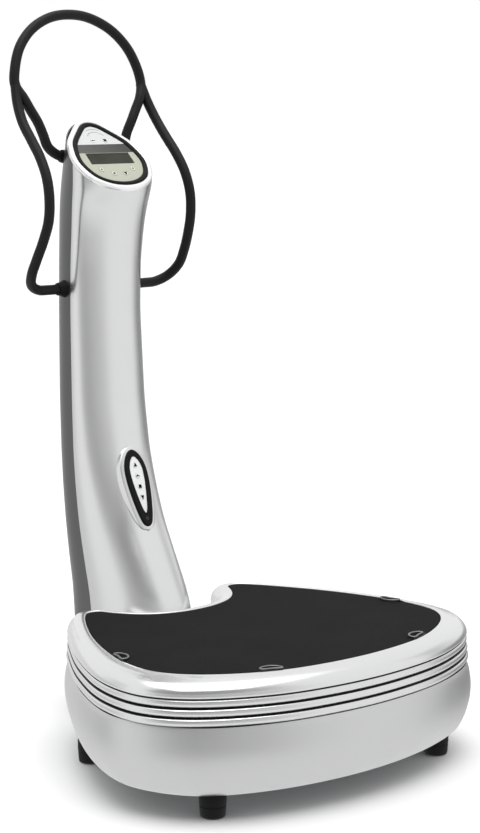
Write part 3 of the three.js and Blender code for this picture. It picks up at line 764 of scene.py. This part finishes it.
TRIANGLE = [(-4.6, -3.4), (4.6, -3.4), (0.8, 4.9), (-0.8, 4.9)]
DOWN = [(x, -y) for x, y in reversed(TRIANGLE)]
BARS = [(-4.8, -1.8), (4.8, -1.8), (4.8, 0.4), (1.6, 0.4), (1.6, 2.6), (-2, 2.6), (-2, 0.4), (-4.8, 0.4)]
SQUARE = [
    (-3.9, -3.3), (-3.3, -3.9), (3.3, -3.9), (3.9, -3.3), (3.9, 3.3), (3.3, 3.9), (-3.3, 3.9), (-3.9, 3.3),
]
PLUS = [
    (-2.8, -0.8), (-0.8, -0.8), (-0.8, -2.8), (0.8, -2.8), (0.8, -0.8), (2.8, -0.8), (2.8, 0.8),
    (0.8, 0.8), (0.8, 2.8), (-0.8, 2.8), (-0.8, 0.8), (-2.8, 0.8),
]
CONSOLE_SYMBOLS = (PLUS, disc(2.8), DOWN, PLUS, BARS, SQUARE)
for i, ((x, s), symbol) in enumerate(zip(CONSOLE_KEYS, CONSOLE_SYMBOLS), 1):
    key(f"console_cap_{i}", x, s, -3.6, 1.9, WHITE if s > LCD_S[1] else CREAM, CONSOLE,
        f"console_button_{i}", "black_plastic", f"console_key_{i}", symbol)

keep("pod_housing", SILVER, 0.0, 30)
leaf_face = outline(POD_FACE_HALF, 108)
bezel = stack("pod_frame", leaf, [
    (0, 3.7), (0, 4.8), (-0.5, 6.0), (-1.3, 7.0), (-2.5, 7.6), (-4, 7.8), (-7, 7.8)])
carve(bezel, stack("face_hole", leaf_face, [(GAP, 2), (GAP, 9)]), drill(0, POD_WINDOW, LENS_R + GAP))
shade(bezel, 32)
dress(on(POD, bezel), BLACK, "base", ["pod_bezel"])
pod_face = plate("pod_panel", leaf_face, 3.7, 6.6, [drill(0, v, KEY_R + KEY_GAP) for v in POD_KEYS])
dress(on(POD, pod_face), WHITE, "base", ["pod_face"])
shade(pod_face, 30)
for i, (v, symbol) in enumerate(zip(POD_KEYS, (TRIANGLE, BARS, SQUARE, DOWN)), 1):
    key(f"pod_cap_{i}", 0, v, 4.9, 7.6, WHITE, POD,
        f"pod_button_{i}", "black_plastic", f"pod_key_{i}", symbol)
lens_profile = [(LENS_R, 3.7), (LENS_R, 7.0), (LENS_R - 0.4, 7.4), (3.4, 7.7), (0.4, 7.8)]
lens = turned("pod_window", lens_profile, 0, POD_WINDOW, 32, 50)
dress(on(POD, lens), LCD, "base", ["infrared_window"])

# ---- handlebar ------------------------------------------------------------------------------------
hoop_points = [*reversed(HOOP_HALF[1:]), *[(-x, y, z) for x, y, z in HOOP_HALF]]
hoop_path = catmull(hoop_points, 220, False)
dress(tube("hoop_bar", hoop_path, TUBE_R), TUBE, "base", ["hoop"])
for side, sign in SIDES:
    grip_path = catmull([(sign * x, y, z) for x, y, z in GRIP], 150, False)
    dress(tube(f"grip_bar_{side}", grip_path, TUBE_R), TUBE, "base", [f"grip_{side}"])
    for level, ((x, y, z), lean, flare) in COLLARS.items():
        bore, big, small = TUBE_R - 1, TUBE_R + flare, TUBE_R + 3
        profile = [
            (bore, -COLLAR_HALF), (big - 0.8, -COLLAR_HALF), (big - 0.1, -13.2), (big - 0.2, -11.5),
            (big * 0.7 + small * 0.3, -6), (big * 0.35 + small * 0.65, 2), (small + 0.4, 9),
            (small, 12.6), (small - 0.7, 13.7), (bore, COLLAR_HALF),
        ]
        collar = turned(f"collar_cone_{level}_{side}", profile)
        lie_down = Matrix.Rotation(sign * (math.pi / 2 - lean), 4, "Y")
        collar.data.transform(Matrix.Translation(Vector((sign * x, y, z)) * MM) @ lie_down)
        dress(collar, BLACK, "base", [f"collar_{level}_{side}"])

# ---- stage, light and camera ----------------------------------------------------------------------
CAMERA_AT = (-2.808, -3.432, 1.407)
HEADING = (0.64305, 0.76583)
PITCH = math.radians(9.03)
LENS = 92.9
FLOOR_HALF = 60

scene = bpy.context.scene
floor_mesh = bpy.data.meshes.new("floor")
floor_corners = [(sx * FLOOR_HALF, sy * FLOOR_HALF, 0) for sx, sy in ((-1, -1), (1, -1), (1, 1), (-1, 1))]
floor_mesh.from_pydata(floor_corners, [], [(0, 1, 2, 3)])
floor = bpy.data.objects.new("floor", floor_mesh)
scene.collection.objects.link(floor)
floor.visible_glossy = False
paper = Nodes("studio_floor", (0.93, 0.93, 0.93), 0.9, **{"Specular IOR Level": 0.1})
paper.color(paper.mix(paper.noise(3.0), (0.92, 0.92, 0.92), (0.94, 0.94, 0.94)))
floor_mesh.materials.append(paper.material)

TOWARDS_CAMERA, RIGHT = (-HEADING[0], -HEADING[1], 0), (HEADING[1], -HEADING[0], 0)
# Studio surround: brightness by bearing, in degrees to the right of the camera's side, for three
# heights of ray.
FRONT = [
    (-90, 0.95), (-76, 1.3), (-60, 1.05), (-44, 0.66), (-28, 0.5), (-8, 0.46), (12, 0.54), (34, 0.64),
    (56, 0.8), (76, 1.35), (94, 1.5), (108, 0.6),
]
BELOW = [(-180, 0.8), (-150, 0.85), (-125, 0.7), (-104, 0.6), *FRONT, (124, 0.24), (150, 0.26), (180, 0.8)]
LEVEL = [(-180, 1.3), (-150, 1.25), (-125, 1.0), (-104, 0.7), *FRONT, (124, 0.7), (150, 1.2), (180, 1.3)]
ABOVE = [
    (-180, 1.3), (-120, 1.2), (-80, 1.05), (-60, 0.9), (-46, 0.32), (-10, 0.26), (30, 0.3), (50, 0.7),
    (70, 1.3), (120, 1.2), (180, 1.3),
]
world = bpy.data.worlds.new("studio")
scene.world = world
world.use_nodes = True
sky = world.node_tree


def sky_node(kind, values=(), **props):
    """A node of the surround, with its inputs set or linked."""
    node = sky.nodes.new(kind)
    for name, value in props.items():
        setattr(node, name, value)
    for index, value in dict(values).items():
        if isinstance(value, bpy.types.NodeSocket):
            sky.links.new(value, node.inputs[index])
        else:
            node.inputs[index].default_value = value
    return node


direction = sky_node("ShaderNodeTexCoord").outputs["Generated"]
along = [sky_node("ShaderNodeVectorMath", {0: direction, 1: v}, operation="DOT_PRODUCT").outputs["Value"]
         for v in (RIGHT, TOWARDS_CAMERA)]
bearing = sky_node("ShaderNodeMath", {0: along[0], 1: along[1]}, operation="ARCTAN2").outputs[0]
whole_turn = {"Value": bearing, "From Min": -math.pi, "From Max": math.pi}
share = sky_node("ShaderNodeMapRange", whole_turn).outputs[0]


def by_bearing(table):
    """A colour ramp that runs round the horizon."""
    made = sky_node("ShaderNodeValToRGB", {0: share})
    made.color_ramp.interpolation = "B_SPLINE"
    stops = made.color_ramp.elements
    while len(stops) > 1:
        stops.remove(stops[-1])
    for i, (degrees, value) in enumerate(table):
        stop = stops[0] if i == 0 else stops.new((degrees + 180) / 360)
        stop.position, stop.color = (degrees + 180) / 360, (value, value, value, 1)
    return made.outputs["Color"]


height = sky_node("ShaderNodeSeparateXYZ", {0: direction}).outputs["Z"]


def towards(color, low, high, value):
    """The surround blended into another brightness as the ray's height goes from low to high."""
    span = {"Value": height, "From Min": low, "From Max": high}
    rise = sky_node("ShaderNodeMapRange", span, interpolation_type="SMOOTHSTEP")
    if not isinstance(value, bpy.types.NodeSocket):
        value = (value, value, value, 1)
    return sky_node("ShaderNodeMix", {0: rise.outputs[0], 6: color, 7: value}, data_type="RGBA").outputs[2]


ZENITH, UNDERSIDE = 2.5, 1.0
light = towards(by_bearing(BELOW), 0.0, 0.12, by_bearing(LEVEL))
light = towards(light, 0.4, 0.54, by_bearing(ABOVE))
light = towards(light, 0.82, 0.93, ZENITH)
light = towards(light, -0.18, -0.55, UNDERSIDE)
studio = sky_node("ShaderNodeBackground", {"Color": light, "Strength": 1.0})
backdrop = sky_node("ShaderNodeBackground", {"Color": (1, 1, 1, 1), "Strength": 1.0})
seen = sky_node("ShaderNodeLightPath").outputs["Is Camera Ray"]
choose = sky_node("ShaderNodeMixShader", {0: seen, 1: studio.outputs[0], 2: backdrop.outputs[0]})
sky.links.new(choose.outputs[0], sky.nodes["World Output"].inputs["Surface"])


def area(name, at, target, size, power):
    """A rectangular lamp of a size in metres, turned towards its target."""
    lamp = bpy.data.lights.new(name, "AREA")
    lamp.shape, lamp.size, lamp.size_y, lamp.energy = "RECTANGLE", *size, power
    obj = bpy.data.objects.new(name, lamp)
    obj.location = at
    obj.rotation_euler = (Vector(target) - Vector(at)).to_track_quat("-Z", "Y").to_euler()
    scene.collection.objects.link(obj)


area("key_top", (-0.8, -1.2, 4.2), (0, 0, 0.3), (3.0, 3.0), 40)

camera_data = bpy.data.cameras.new("camera")
camera_data.lens, camera_data.sensor_width = LENS, 36
camera = bpy.data.objects.new("camera", camera_data)
camera.location = CAMERA_AT
look = Vector((HEADING[0] * math.cos(PITCH), HEADING[1] * math.cos(PITCH), -math.sin(PITCH)))
camera.rotation_euler = look.to_track_quat("-Z", "Y").to_euler()
scene.collection.objects.link(camera)
scene.camera = camera
scene.view_settings.view_transform = "Standard"
